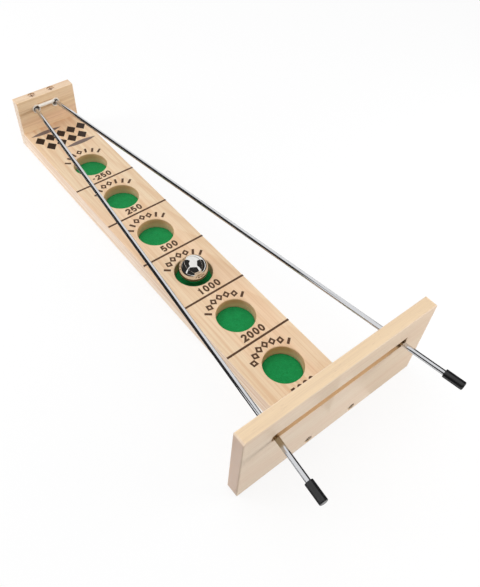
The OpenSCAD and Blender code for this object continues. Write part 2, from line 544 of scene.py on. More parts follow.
@dataclass(frozen=True)
class WoodFinish(Finish):
    """Pale sanded pine with rings round a pith that lay outside the board.

    Attributes:
        name: The material's name.
        grain: Which way the grain runs.
        cream: Main colour.
        blush: Pinkish colour that drifts in and out along the grain.
        ring: Colour of the late wood in a ring.
        fibre: Colour of the fine fibre lines.
        face_grain_and_light_tones: Colours of the faces that look along other axes: darker end grain on some,
            painted light on others.
        stains_and_shade: Cut faces that are darker than the rest, by stain and by painted shade.
        pith_mm: Where the pith lay across and above the board's origin.
        pith_lean: How much the pith drifts sideways and down along the board.
        ring_gap_mm: Mean width of a ring.
        ring_share: How strongly the rings show.
        streak_share: How strongly the soft streaks along the grain show.
        fibre_share: How strongly the fibre lines show.
        fleck_share: How strongly the short flecks show.
        seed: Shifts the pattern, so that no two boards are alike.
        wander: How far the rings wander, in millimetres.
        ripple: Their finer unevenness, in millimetres.
        late_start: How the late wood comes in over a year.
        late_end: How it stops at the year's end.
        strength: Where the rings are strong and where they are faint.
        streaks: The soft streaks.
        fibres: The fine fibre lines.
        flecks: The short flecks.
        drift: Where the board is cream and where it blushes.
        roughness: Roughness between the fibres.
        fibre_roughness: What the fibres add to it.
        gloss: Strength of the plain reflection.
        ring_relief: How far the late wood stands up, as a share of the relief.
        fibre_relief: How far the fibres stand up.
        relief: Depth of the grain's relief, in metres.
        relief_share: Share of the relief that shows.
    """

    name: str
    grain: Grain
    cream: Colour
    blush: Colour
    ring: Colour
    fibre: Colour
    face_grain_and_light_tones: tuple[FaceGrainAndLightTone, ...] = ()
    stains_and_shade: tuple[WellStainAndShade | SlotStainAndShade, ...] = ()
    pith_mm: Point = (14.0, -46.0)
    pith_lean: Point = (0.03, 0.05)
    ring_gap_mm: float = 2.3
    ring_share: float = 0.4
    streak_share: float = 0.5
    fibre_share: float = 0.35
    fleck_share: float = 0.35
    seed: float = 0.0
    wander: Figure = Figure(0.018, 0.0035, 1.0, 3.1, Fade(0.0, 1.0, -6.0, 6.0, smooth=False))
    ripple: Figure = Figure(0.12, 0.012, 2.0, 7.7, Fade(0.0, 1.0, -1.2, 1.2, smooth=False))
    late_start: Fade = Fade(0.25, 0.86)
    late_end: Fade = Fade(1.0, 0.9)
    strength: Figure = Figure(0.11, 0.002, 1.0, 12.3, Fade(0.35, 0.7, 0.25, 1.0))
    streaks: Figure = Figure(0.42, 0.007, 3.0, 17.0, Fade(0.42, 0.66))
    fibres: Figure = Figure(2.4, 0.035, 3.0, 21.0, Fade(0.42, 0.72))
    flecks: Figure = Figure(1.5, 0.16, 1.0, 33.0, Fade(0.66, 0.76))
    drift: Figure = Figure(0.045, 0.006, 2.0, 45.0, Fade(0.38, 0.6))
    roughness: float = 0.46
    fibre_roughness: float = 0.1
    gloss: float = 0.3
    ring_relief: float = 0.4
    fibre_relief: float = -0.6
    relief: float = 0.06 * MM
    relief_share: float = 0.6

    def draw(self, graph: Graph) -> dict[str, Value]:
        """Draws the wood.

        Args:
            graph: The tree to write in.

        Returns:
            What each of the shader's sockets is fed.
        """
        axes = graph.split(graph.place_mm())
        grained = [axes[1], axes[0], axes[2]] if self.grain is Grain.CROSSWISE else axes
        rings = self.rings(graph, grained)
        fibres, streaks, flecks, drift = (figure.read(graph, grained, self.seed)
                                          for figure in (self.fibres, self.streaks, self.flecks, self.drift))
        colour = graph.mix(drift, self.cream, self.blush)
        # Face tones: darker end grain on some faces, painted light on others.
        for tone in self.face_grain_and_light_tones:
            colour = graph.mix(tone.mask(graph), colour, tone.colour)
        layers = ((streaks, self.streak_share, self.ring), (rings, self.ring_share, self.ring),
                  (fibres, self.fibre_share, self.fibre), (flecks, self.fleck_share, self.ring))
        for layer, share, tone in layers:
            colour = graph.mix(graph.math("MULTIPLY", layer, share), colour, tone)
        # Stains of the wood, with painted shade in the wells and in the slot beside the rods.
        for overlay in self.stains_and_shade:
            colour = overlay.dye_and_shade(graph, axes, colour)
        height = graph.math("MULTIPLY_ADD", rings, self.ring_relief,
                            graph.math("MULTIPLY", fibres, self.fibre_relief))
        return {
            "Base Color": colour,
            "Roughness": graph.math("MULTIPLY_ADD", fibres, self.fibre_roughness, self.roughness),
            "Specular IOR Level": self.gloss,
            "Normal": graph.bump(height, self.relief, self.relief_share),
        }

    def rings(self, graph: Graph, axes: list[Socket]) -> Socket:
        """Draws the late wood of each year's ring, dark towards the ring's end.

        Args:
            graph: The tree to write in.
            axes: The places across, along and above the grain in millimetres.

        Returns:
            The share of late wood.
        """
        across, along, up = axes
        side, rise = (graph.math("SUBTRACT", graph.math("MULTIPLY_ADD", along, lean, place), pith)
                      for place, lean, pith in zip((across, up), self.pith_lean, self.pith_mm))
        side = graph.math("ADD", side, self.wander.read(graph, axes, self.seed))
        uneven = graph.math("ADD", graph.length(side, rise), self.ripple.read(graph, axes, self.seed))
        year = graph.math("FRACT", graph.math("DIVIDE", uneven, self.ring_gap_mm))
        late = graph.math("MULTIPLY", self.late_start.read(graph, year), self.late_end.read(graph, year))
        return graph.math("MULTIPLY", late, self.strength.read(graph, axes, self.seed))


@dataclass(frozen=True)
class SlotShadeBand:
    """A darker band painted on a rod where it leaves the slot: painted shade and painted dark reflection of
    the slot.

    Attributes:
        near_mm: Y at the band's near end.
        far_mm: Y at its far end.
        fade_mm: How softly it ends.
        colour: Colour of the band.
    """

    near_mm: float
    far_mm: float
    fade_mm: float
    colour: Colour

    def mask(self, graph: Graph, place: Socket) -> Socket:
        """Gives 1 in the band and 0 along the rest of the rod.

        Args:
            graph: The tree to write in.
            place: The place in millimetres.

        Returns:
            The mask.
        """
        along = graph.split(place)[1]
        near = graph.remap(along, self.near_mm, self.near_mm + self.fade_mm)
        return graph.math("MULTIPLY", near, graph.remap(along, self.far_mm, self.far_mm - self.fade_mm))


@dataclass(frozen=True)
class MetalFinish(Finish):
    """Bright metal with faint marks from handling.

    Attributes:
        name: The material's name.
        colour: Colour of its reflection.
        roughness: How blurred the reflection is.
        mark_depth: Depth of the fine marks, in metres.
        stretch: How long the marks are along Y compared with across.
        smear: How much the roughness varies.
        band: A darker band of painted shade, if it has one.
        metal: Share that mirrors; the rest is a pale satin plating.
        mark_waves: Marks per millimetre across.
        haze: Broad unevenness from handling.
        smeared: Where the haze roughens the metal.
        dulled: Where it darkens the metal, and how much.
        dull_tone: Brightness of the darkened metal.
    """

    name: str
    colour: Colour
    roughness: float
    mark_depth: float = 2.0e-7
    stretch: float = 1.0
    smear: float = 0.04
    band: SlotShadeBand | None = None
    metal: float = 1.0
    mark_waves: float = 3.0
    haze: Noise = Noise((0.35, 0.08, 0.35), 2.0, 0.5)
    smeared: Fade = Fade(0.3, 0.7)
    dulled: Fade = Fade(0.35, 0.75, 0.0, 0.25)
    dull_tone: float = 0.8

    def draw(self, graph: Graph) -> dict[str, Value]:
        """Draws the metal.

        Args:
            graph: The tree to write in.

        Returns:
            What each of the shader's sockets is fed.
        """
        place = graph.place_mm()
        marks = Noise((self.mark_waves, self.mark_waves / self.stretch, self.mark_waves)).read(graph, place)
        haze = self.haze.read(graph, place)
        dull = tuple(self.dull_tone * share for share in self.colour)
        tone = graph.mix(self.dulled.read(graph, haze), self.colour, dull)
        # The band darkens the metal's colour with painted shade near the slot.
        if self.band:
            tone = graph.mix(self.band.mask(graph, place), tone, self.band.colour)
        smeared = self.smeared.read(graph, haze)
        return {
            "Base Color": tone,
            "Metallic": self.metal,
            "Roughness": graph.math("MULTIPLY_ADD", smeared, self.smear, self.roughness),
            "Normal": graph.bump(marks, self.mark_depth),
        }


@dataclass(frozen=True)
class RubberFinish(Finish):
    """Black rubber with a fine moulded texture and a dusty bloom.

    Attributes:
        name: The material's name.
        colour: Main colour.
        bloom: Colour of the dusty bloom.
        grit: The moulded texture.
        dust: Where the bloom lies.
        bloomed: How the bloom comes in.
        roughness: Roughness between the grit.
        grit_roughness: What the grit adds to it.
        relief: Depth of the grit, in metres.
        relief_share: Share of it that shows.
    """

    name: str
    colour: Colour
    bloom: Colour
    grit: Noise = Noise((4.0, 4.0, 4.0))
    dust: Noise = Noise((0.5, 0.5, 0.5))
    bloomed: Fade = Fade(0.45, 0.8)
    roughness: float = 0.14
    grit_roughness: float = 0.12
    relief: float = 0.02 * MM
    relief_share: float = 0.4

    def draw(self, graph: Graph) -> dict[str, Value]:
        """Draws the rubber.

        Args:
            graph: The tree to write in.

        Returns:
            What each of the shader's sockets is fed.
        """
        place = graph.place_mm()
        grit = self.grit.read(graph, place)
        dusty = self.bloomed.read(graph, self.dust.read(graph, place))
        return {
            "Base Color": graph.mix(dusty, self.colour, self.bloom),
            "Roughness": graph.math("MULTIPLY_ADD", grit, self.grit_roughness, self.roughness),
            "Normal": graph.bump(grit, self.relief, self.relief_share),
        }


@dataclass(frozen=True)
class FeltFinish(Finish):
    """Pressed green felt, with hairs that lie both ways.

    Attributes:
        name: The material's name.
        colour: Main colour.
        shade: Darker colour between the fibres.
        bright: Paler colour of the raised fibres.
        swirl: What bends the hairs.
        bend_mm: How far it bends them.
        hairs: The hairs that lie along the board.
        cross_hairs: The hairs that lie across it.
        patches: Broad darker patches.
        patched: How the patches show.
        shaded: How the gaps between the hairs show.
        lit: How the raised hairs show.
        roughness: Roughness of the felt.
        gloss: Strength of its plain reflection.
        sheen: Strength of its soft sheen.
        sheen_roughness: How wide the sheen spreads.
        relief: Depth of the nap's relief, in metres.
        relief_share: Share of it that shows.
    """

    name: str
    colour: Colour
    shade: Colour
    bright: Colour
    swirl: Noise = Noise((0.55, 0.55, 0.55))
    bend_mm: Spot = (3.5, -3.5, 0.0)
    hairs: Noise = Noise((2.8, 0.7, 2.8), 4.0, 0.7)
    cross_hairs: Noise = Noise((0.8, 3.0, 2.8), 4.0, 0.7)
    patches: Noise = Noise((0.16, 0.16, 0.16), 2.0, 0.5)
    patched: Fade = Fade(0.35, 0.7, 0.0, 0.25)
    shaded: Fade = Fade(0.62, 0.42, 0.0, 0.7)
    lit: Fade = Fade(0.6, 0.78, 0.0, 0.6)
    roughness: float = 0.95
    gloss: float = 0.1
    sheen: float = 0.25
    sheen_roughness: float = 0.5
    relief: float = 0.3 * MM
    relief_share: float = 0.8

    def draw(self, graph: Graph) -> dict[str, Value]:
        """Draws the felt.

        Args:
            graph: The tree to write in.

        Returns:
            What each of the shader's sockets is fed.
        """
        place = graph.place_mm()
        swirl = self.swirl.read(graph, place)
        bend = graph.vector("MULTIPLY", graph.join(swirl, swirl, 0.0), self.bend_mm)
        bent = graph.vector("ADD", place, bend)
        nap = graph.math("MAXIMUM", self.hairs.read(graph, bent), self.cross_hairs.read(graph, bent))
        colour = graph.mix(self.patched.read(graph, self.patches.read(graph, place)), self.colour, self.shade)
        colour = graph.mix(self.shaded.read(graph, nap), colour, self.shade)
        return {
            "Base Color": graph.mix(self.lit.read(graph, nap), colour, self.bright),
            "Roughness": self.roughness,
            "Specular IOR Level": self.gloss,
            "Sheen Weight": self.sheen,
            "Sheen Roughness": self.sheen_roughness,
            "Normal": graph.bump(nap, self.relief, self.relief_share),
        }


@dataclass(frozen=True)
class PrintFinish(Finish):
    """Screen-printed ink, thin enough for the grain to show through.

    Attributes:
        name: The material's name.
        colour: Colour of the ink.
        thin: Colour where the ink is thin.
        fibres: The wood's fibres under the ink.
        blots: Where the ink lies thick and thin.
        raised: How the fibres thin the ink.
        blotted: How the blots do.
        roughness: Roughness of thick ink.
        thin_roughness: What thin ink adds to it.
        gloss: Strength of the plain reflection.
        relief: Depth of the fibres, in metres.
        relief_share: Share of it that shows.
    """

    name: str
    colour: Colour
    thin: Colour
    fibres: Noise = Noise((2.4, 0.1, 2.4), 3.0, 0.5)
    blots: Noise = Noise((0.6, 0.6, 0.6))
    raised: Fade = Fade(0.5, 0.75)
    blotted: Fade = Fade(0.4, 0.7, 0.2, 0.9)
    roughness: float = 0.5
    thin_roughness: float = 0.15
    gloss: float = 0.3
    relief: float = 0.03 * MM
    relief_share: float = 0.5

    def draw(self, graph: Graph) -> dict[str, Value]:
        """Draws the ink.

        Args:
            graph: The tree to write in.

        Returns:
            What each of the shader's sockets is fed.
        """
        place = graph.place_mm()
        fibres = self.fibres.read(graph, place)
        blots = self.blotted.read(graph, self.blots.read(graph, place))
        worn = graph.math("MULTIPLY", self.raised.read(graph, fibres), blots)
        return {
            "Base Color": graph.mix(worn, self.colour, self.thin),
            "Roughness": graph.math("MULTIPLY_ADD", worn, self.thin_roughness, self.roughness),
            "Specular IOR Level": self.gloss,
            "Normal": graph.bump(fibres, self.relief, self.relief_share),
        }


def deselect() -> None:
    """Leaves object mode's selection empty."""
    if bpy.context.object is not None and bpy.context.object.mode != "OBJECT":
        bpy.ops.object.mode_set(mode="OBJECT")
    bpy.ops.object.select_all(action="DESELECT")


def make_active(piece: bpy.types.Object) -> None:
    """Selects one piece alone and makes it the active one.

    Args:
        piece: The piece.
    """
    deselect()
    piece.select_set(True)
    bpy.context.view_layer.objects.active = piece


def add_object(name: str, data: bpy.types.ID) -> bpy.types.Object:
    """Makes an object of a mesh, curve, light or camera and puts it in the scene.

    Args:
        name: Its name.
        data: What it shows.

    Returns:
        The object.
    """
    made = bpy.data.objects.new(name, data)
    bpy.context.scene.collection.objects.link(made)
    return made


def dress(finish: Finish, *nodes: str) -> None:
    """Gives nodes of the part a finish in each of their material slots.

    Args:
        finish: The finish.
        nodes: The nodes' names.
    """
    material = finish.build()
    for node in nodes:
        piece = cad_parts[node]
        if not piece.material_slots:
            piece.data.materials.append(material)
        for place in piece.material_slots:
            place.material = material
        log.info("%s dressed in %s", node, material.name)


def settle(piece: bpy.types.Object) -> None:
    """Fixes a finished piece to the board, and reports it."""
    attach(piece, BOARD_BODY)
    log.info("%s rides on %s, %d faces", piece.name, BOARD_BODY, len(piece.data.polygons))


def arc(centre: Point, radii: Point, start: float, end: float, steps: int) -> Outline:
    """Gives points along an arc of an ellipse.

    Args:
        centre: Its middle.
        radii: Its two half widths.
        start: First angle in degrees.
        end: Last angle in degrees.
        steps: Number of stretches.

    Returns:
        The points, one more than the stretches.
    """
    angles = (math.radians(start + (end - start) * i / steps) for i in range(steps + 1))
    return [(centre[0] + radii[0] * math.cos(a), centre[1] + radii[1] * math.sin(a)) for a in angles]


def ellipse(width: float, height: float) -> Outline:
    """Gives a closed ellipse about the origin."""
    return arc((0.0, 0.0), (width / 2, height / 2), 0.0, 360.0, ELLIPSE_SIDES)[:-1]


def lozenge(width: float, height: float) -> Outline:
    """Gives an upright lozenge about the origin."""
    return [(width / 2, 0.0), (0.0, height / 2), (-width / 2, 0.0), (0.0, -height / 2)]


def ribbon(line: Outline, width: float) -> Outline:
    """Draws the outline of a pen stroke with square ends and mitred corners.

    Args:
        line: The stroke's middle line.
        width: The pen's width.

    Returns:
        One closed outline.
    """
    left, right = [], []
    for i, (x, y) in enumerate(line):
        before = Vector(line[i]) - Vector(line[i - 1]) if i else None
        after = Vector(line[i + 1]) - Vector(line[i]) if i + 1 < len(line) else None
        before = (before or after).normalized()
        after = (after or before).normalized()
        mean = (before + after).normalized()
        reach = width / 2 / max(mean.dot(after), MITRE_LIMIT)
        left.append((x - mean.y * reach, y + mean.x * reach))
        right.append((x + mean.y * reach, y - mean.x * reach))
    return left + right[::-1]


def placed(outlines: Sequence[Outline], shift: Point, turn: float = 0.0) -> list[Outline]:
    """Turns outlines about their origin and moves them.

    Args:
        outlines: The outlines.
        shift: Where their origin goes.
        turn: Angle in degrees, anticlockwise.

    Returns:
        The moved outlines.
    """
    c, s = math.cos(math.radians(turn)), math.sin(math.radians(turn))
    return [[(shift[0] + c * x - s * y, shift[1] + s * x + c * y) for x, y in line] for line in outlines]


@dataclass(frozen=True)
class DigitPen:
    """Plain upright numerals, drawn as strokes of one pen. Sizes are in millimetres.

    The shares are of half the width and half the height in which the pen's middle runs.

    Attributes:
        height: Height of a numeral.
        width: Width of a numeral.
        pen: Width of the stroke.
        pitch: Distance from one numeral to the next.
        dash_pitch: Room that a minus sign takes.
        stem_side: Right side of the 1's stem, as a share.
        crown_pens: Width of the stem's top, in pens.
        flag_tip: Tip of the 1's flag, as shares to the left and up.
        flag_pens: Thickness of the flag at its tip, in pens.
        flag_bend: Where the flag's upper edge bends, as shares to the left and up.
        bow_deg: First and last angle of the 2's bow.
        bow_steps: Number of stretches in the bow.
        bowl_rise: Half height of the 5's bowl, as a share of the half width.
        bowl_deg: First and last angle of the bowl.
        bowl_steps: Number of stretches in the bowl.
        shoulder: Left end of the 5's roof, as a share.
        neck: Foot of the 5's neck, as shares to the left and below the bowl's start.
        dash: Half the minus sign's length, as a share.
    """

    height: float = 7.4
    width: float = 4.9
    pen: float = 1.7
    pitch: float = 5.8
    dash_pitch: float = 4.0
    stem_side: float = 0.75
    crown_pens: float = 0.8
    flag_tip: Point = (0.8, 0.5)
    flag_pens: float = 0.7
    flag_bend: Point = (0.1, 0.72)
    bow_deg: Point = (172.0, -38.0)
    bow_steps: int = 18
    bowl_rise: float = 1.08
    bowl_deg: Point = (128.0, -158.0)
    bowl_steps: int = 22
    shoulder: float = 0.72
    neck: Point = (0.95, 0.05)
    dash: float = 0.62

    def one(self, half_width: float, half_height: float) -> Outline:
        """Draws a 1.

        Args:
            half_width: Half the width in which the pen's middle runs.
            half_height: Half the height.

        Returns:
            Its closed outline.
        """
        top = half_height + self.pen / 2
        right = self.stem_side * half_width
        left = right - self.pen
        tip_x, tip_y = -self.flag_tip[0] * half_width, self.flag_tip[1] * half_height
        bend = (-self.flag_bend[0] * half_width, self.flag_bend[1] * half_height)
        return [(right, top), (right, -top), (left, -top), (left, tip_y), (tip_x, tip_y),
                (tip_x, tip_y + self.flag_pens * self.pen), bend, (right - self.crown_pens * self.pen, top)]

    def outlines(self, mark: str) -> list[Outline]:
        """Draws one numeral about the middle of its box.

        Args:
            mark: One of 0, 1, 2, 5 and the minus sign.

        Returns:
            Its closed outlines.
        """
        a, b = (self.width - self.pen) / 2, (self.height - self.pen) / 2
        if mark == "0":
            return [ellipse(self.width, self.height), ellipse(2 * a - self.pen, 2 * b - self.pen)]
        if mark == "1":
            return [self.one(a, b)]
        if mark == "2":
            bow = arc((0.0, b - a), (a, a), *self.bow_deg, self.bow_steps)
            return [ribbon([*bow, (-a, -b), (a + self.pen / 2, -b)], self.pen)]
        if mark == "5":
            rise = self.bowl_rise * a
            bowl = arc((0.0, rise - b), (a, rise), *self.bowl_deg, self.bowl_steps)
            neck = (-self.neck[0] * a, bowl[0][1] - self.neck[1] * b)
            return [ribbon([(a, b), (-self.shoulder * a, b), neck, *bowl[1:]], self.pen)]
        return [ribbon([(-self.dash * a, 0.0), (self.dash * a, 0.0)], self.pen)]

    def write(self, text: str, centre: Point) -> list[Outline]:
        """Writes a number, centred.

        Args:
            text: The number.
            centre: Its middle.

        Returns:
            The outlines of all its numerals.
        """
        pitches = [self.dash_pitch if mark == "-" else self.pitch for mark in text]
        x = centre[0] - sum(pitches) / 2
        made = []
        for mark, pitch in zip(text, pitches):
            made += placed(self.outlines(mark), (x + pitch / 2, centre[1]))
            x += pitch
        return made


@dataclass
class Printing:
    """What is screen-printed on the base board: lines, scores, tally arcs and an end ornament.

    Attributes:
        scores: The score of each well, from the head block.
        film: Thickness of the ink film.
        weld: Distance under which two points of a film become one.
        line_width_mm: Thickness of a dividing line.
        line_drop_mm: Distance from a well's middle down to the line below it.
        score_drop_mm: Distance from a well's middle down to the middle of its score.
        last_score_drop_mm: The same for the last score, half under the front board.
        tally_radius_mm: Distance from a well's middle to the middle of its tally marks.
        tally_count: Number of marks in a tally.
        tally_span_deg: Angle from the first mark to the last.
        tally_bar_mm: Width and height of a bar in the tally.
        tally_lozenge_mm: Width and height of an open lozenge in the tally.
        tally_open_mm: Width and height of its opening.
        ornament_y_mm: Height of the end ornament's middle along the board.
        lozenge_mm: Width and height of a lozenge in the ornament.
        lozenge_pitch_mm: Distance from one lozenge to the next.
        lozenge_rows: Number of lozenges in the upper and the lower row.
        leaf_mm: Length and width of a leaf.
        leaf_steps: Number of stretches on each side of a leaf.
        leaf_places_mm: Where the leaves lie, from the ornament's middle.
        digits: The pen for the scores.
        score_ink: Ink of the lines, scores and tallies.
        lozenge_ink: Ink of the ornament's lozenges.
        leaf_ink: Ink of its leaves.
    """

    scores: tuple[str, ...] = ("-250", "250", "500", "1000", "2000", "5000")
    film: float = 0.05 * MM
    weld: float = 0.002 * MM
    line_width_mm: float = 1.9
    line_drop_mm: float = 28.6
    score_drop_mm: float = 21.8
    last_score_drop_mm: float = 23.3
    tally_radius_mm: float = 22.6
    tally_count: int = 7
    tally_span_deg: float = 104.0
    tally_bar_mm: Point = (2.2, 6.2)
    tally_lozenge_mm: Point = (6.7, 7.6)
    tally_open_mm: Point = (2.5, 2.9)
    ornament_y_mm: float = 181.5
    lozenge_mm: Point = (11.2, 13.6)
    lozenge_pitch_mm: float = 11.8
    lozenge_rows: tuple[int, int] = (5, 4)
    leaf_mm: Point = (34.0, 5.6)
    leaf_steps: int = 24
    leaf_places_mm: tuple[Point, Point] = ((-11.5, 17.6), (10.5, -17.6))
    digits: DigitPen = DigitPen()
    score_ink: PrintFinish = PrintFinish("brown_ink", paint(82, 55, 36), paint(124, 92, 62))
    lozenge_ink: PrintFinish = PrintFinish("black_ink", paint(42, 28, 20), paint(78, 56, 38))
    leaf_ink: PrintFinish = PrintFinish("grey_ink", paint(120, 104, 98), paint(156, 136, 120))

    def build(self, wells: Sequence[Point]) -> None:
        """Prints the board.

        Args:
            wells: The wells' middles in millimetres, from the head block.
        """
        base_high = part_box("base_board")[1]
        edge, top = base_high.x / MM, base_high.z
        brown, black, grey = (ink.build() for ink in (self.score_ink, self.lozenge_ink, self.leaf_ink))
        drops = [(x, y - self.line_drop_mm) for x, y in wells[:-1]]
        lines = [ribbon([(x - edge, y), (x + edge, y)], self.line_width_mm) for x, y in drops]
        self.stamp("dividing_lines", lines, top, brown)
        for rank, ((x, y), score) in enumerate(zip(wells, self.scores), start=1):
            drop = self.last_score_drop_mm if rank == len(wells) else self.score_drop_mm
            self.stamp(f"score_{rank}", self.digits.write(score, (x, y - drop)), top, brown)
            self.stamp(f"tally_{rank}", self.tally(rank, (x, y)), top, brown)
        self.stamp("ornament_lozenges", self.chequer(), top, black)
        self.stamp("ornament_leaves", self.leaves(), top, grey)

    def stamp(self, name: str, outlines: Sequence[Outline], top: float, ink: bpy.types.Material) -> None:
        """Lays one film of ink on the board.

        Args:
            name: The piece's name.
            outlines: Closed outlines in millimetres; one inside another is a hole.
            top: Height of the board's top.
            ink: The ink.
        """
        curve = bpy.data.curves.new(name, "CURVE")
        curve.dimensions = "2D"
        curve.fill_mode = "BOTH"
        curve.extrude = self.film
        for line in outlines:
            spline = curve.splines.new("POLY")
            spline.points.add(len(line) - 1)
            for point, (x, y) in zip(spline.points, line):
                point.co = (x * MM, y * MM, 0.0, 1.0)
            spline.use_cyclic_u = True
        make_active(add_object(name, curve))
        bpy.ops.object.convert(target="MESH")
        piece = bpy.context.object
        bpy.ops.object.mode_set(mode="EDIT")
        bpy.ops.mesh.select_all(action="SELECT")
        bpy.ops.mesh.remove_doubles(threshold=self.weld)
        bpy.ops.mesh.normals_make_consistent(inside=False)
        bpy.ops.transform.translate(value=(0.0, 0.0, top))
        bpy.ops.object.mode_set(mode="OBJECT")
        piece.data.materials.clear()
        piece.data.materials.append(ink)
        settle(piece)

    def tally(self, rank: int, centre: Point) -> list[Outline]:
        """Draws an arc of marks over a well, with as many open lozenges as the well's rank.

        Args:
            rank: The well's number from the head block.
            centre: The well's middle.

        Returns:
            The outlines.
        """
        open_lozenge = [lozenge(*self.tally_lozenge_mm), lozenge(*self.tally_open_mm)]
        bar_width, bar_height = self.tally_bar_mm
        bar = [ribbon([(0.0, -bar_height / 2), (0.0, bar_height / 2)], bar_width)]
        first = (self.tally_count - rank) // 2
        made = []
        for i in range(self.tally_count):
            turn = self.tally_span_deg * (0.5 - i / (self.tally_count - 1))
            x = centre[0] - self.tally_radius_mm * math.sin(math.radians(turn))
            y = centre[1] + self.tally_radius_mm * math.cos(math.radians(turn))
            mark = open_lozenge if first <= i < first + rank else bar
            made += placed(mark, (x, y), turn)
        return made

    def chequer(self) -> list[Outline]:
        """Draws two rows of solid lozenges that fit into each other.

        Returns:
            The outlines.
        """
        made = []
        for count, side in zip(self.lozenge_rows, (1, -1)):
            y = self.ornament_y_mm + side * self.lozenge_mm[1] / 2
            for i in range(count):
                x = self.lozenge_pitch_mm * (i - (count - 1) / 2)
                made += placed([lozenge(*self.lozenge_mm)], (x, y))
        return made

    def leaves(self) -> list[Outline]:
        """Draws two pointed leaves, one over the lozenges and one under them.

        Returns:
            The outlines.
        """
        length, width = self.leaf_mm
        rise = width / 2
        radius = (length ** 2 / 4 + rise ** 2) / (2 * rise)
        half_angle = math.degrees(math.asin(length / 2 / radius))
        leaf = []
        for side in (1, -1):
            centre, middle = (0.0, side * (rise - radius)), 180 - side * 90
            edge = arc(centre, (radius, radius), middle - half_angle, middle + half_angle, self.leaf_steps)
            leaf += edge[:-1]
        made = []
        for x, y in self.leaf_places_mm:
            made += placed([leaf], (x, self.ornament_y_mm + y))
        return made


@dataclass
class FeltDiscs:
    """The felt in the bottom of each well.

    Attributes:
        segments: Sides of a disc.
        edge_round: Radius of the worn upper edge.
        edge_segments: Number of steps in that edge.
        ring_width: Distance between the rings that carry the nap.
        nap: Height of the uneven nap.
        nap_grain: Size of its tufts.
        nap_depth: How many finer layers it has.
        nap_middle: The tufts' value at which the felt stays where it is.
        smooth_deg: Angle under which faces are shaded as one.
        turn_deg: Turn from one disc to the next, so that no two look alike.
        felt: The felt.
    """

    segments: int = 96
    edge_round: float = 0.45 * MM
    edge_segments: int = 4
    ring_width: float = 1.2 * MM
    nap: float = 0.12 * MM
    nap_grain: float = 1.6 * MM
    nap_depth: int = 3
    nap_middle: float = 0.5
    smooth_deg: float = 50.0
    turn_deg: float = 67.0
    felt: FeltFinish = FeltFinish("green_felt", paint(27, 170, 92), paint(15, 125, 64), paint(88, 188, 124))

    def build(self) -> None:
        """Makes one disc with ops and copies it into every well."""
        low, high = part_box("felt_disc_1")
        master = self.master((high.x - low.x) / 2, high.z - low.z)
        master.data.materials.append(self.felt.build())
        for i in range(1, WELL_COUNT + 1):
            low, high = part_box(f"felt_disc_{i}")
            disc = add_object(f"felt_pad_{i}", master.data.copy())
            centre = (low + high) / 2
            turn = Matrix.Rotation(math.radians(self.turn_deg * i), 4, "Z")
            disc.data.transform(Matrix.Translation((centre.x, centre.y, low.z)) @ turn)
            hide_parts(f"felt_disc_{i}")
            settle(disc)
        bpy.data.objects.remove(master)

    def master(self, radius: float, thickness: float) -> bpy.types.Object:
        """Models one disc that stands on the origin.

        Args:
            radius: Its radius.
            thickness: Its thickness.

        Returns:
            The disc.
        """
        depth = thickness - self.nap / 2
        deselect()
        bpy.ops.mesh.primitive_cylinder_add(vertices=self.segments, radius=radius - self.nap / 2, depth=depth,
                                            end_fill_type="NGON", location=(0.0, 0.0, depth / 2))
        disc = bpy.context.object
        bpy.ops.object.transform_apply(location=True)
        self.pick_top(disc, edges=True)
        bpy.ops.mesh.bevel(offset=self.edge_round, segments=self.edge_segments, affect="EDGES")
        self.pick_top(disc, edges=False)
        for _ in range(int((radius - self.edge_round) / self.ring_width) - 1):
            bpy.ops.mesh.inset(thickness=self.ring_width)
        bpy.ops.mesh.poke()
        bpy.ops.object.mode_set(mode="OBJECT")
        tufts = bpy.data.textures.new("felt_nap", "CLOUDS")
        tufts.noise_scale = self.nap_grain
        tufts.noise_depth = self.nap_depth
        lift = disc.modifiers.new("nap", "DISPLACE")
        lift.texture = tufts
        lift.texture_coords = "LOCAL"
        lift.strength = self.nap
        lift.mid_level = self.nap_middle
        make_active(disc)
        bpy.ops.object.modifier_apply(modifier=lift.name)
        bpy.ops.object.shade_smooth_by_angle(angle=math.radians(self.smooth_deg))
        return disc

    def pick_top(self, disc: bpy.types.Object, edges: bool) -> None:
        """Selects the disc's top face, or the edges round it, in edit mode.

        Args:
            disc: The disc.
            edges: Whether the edges are wanted and not the face.
        """
        make_active(disc)
        bpy.ops.object.mode_set(mode="EDIT")
        bpy.ops.mesh.select_mode(type="FACE")
        bpy.ops.mesh.select_all(action="DESELECT")
        bpy.ops.object.mode_set(mode="OBJECT")
        top = max(disc.data.polygons, key=lambda face: (round(face.normal.z, 3), len(face.vertices)))
        top.select = True
        bpy.ops.object.mode_set(mode="EDIT")
        if edges:
            bpy.ops.mesh.region_to_loop()


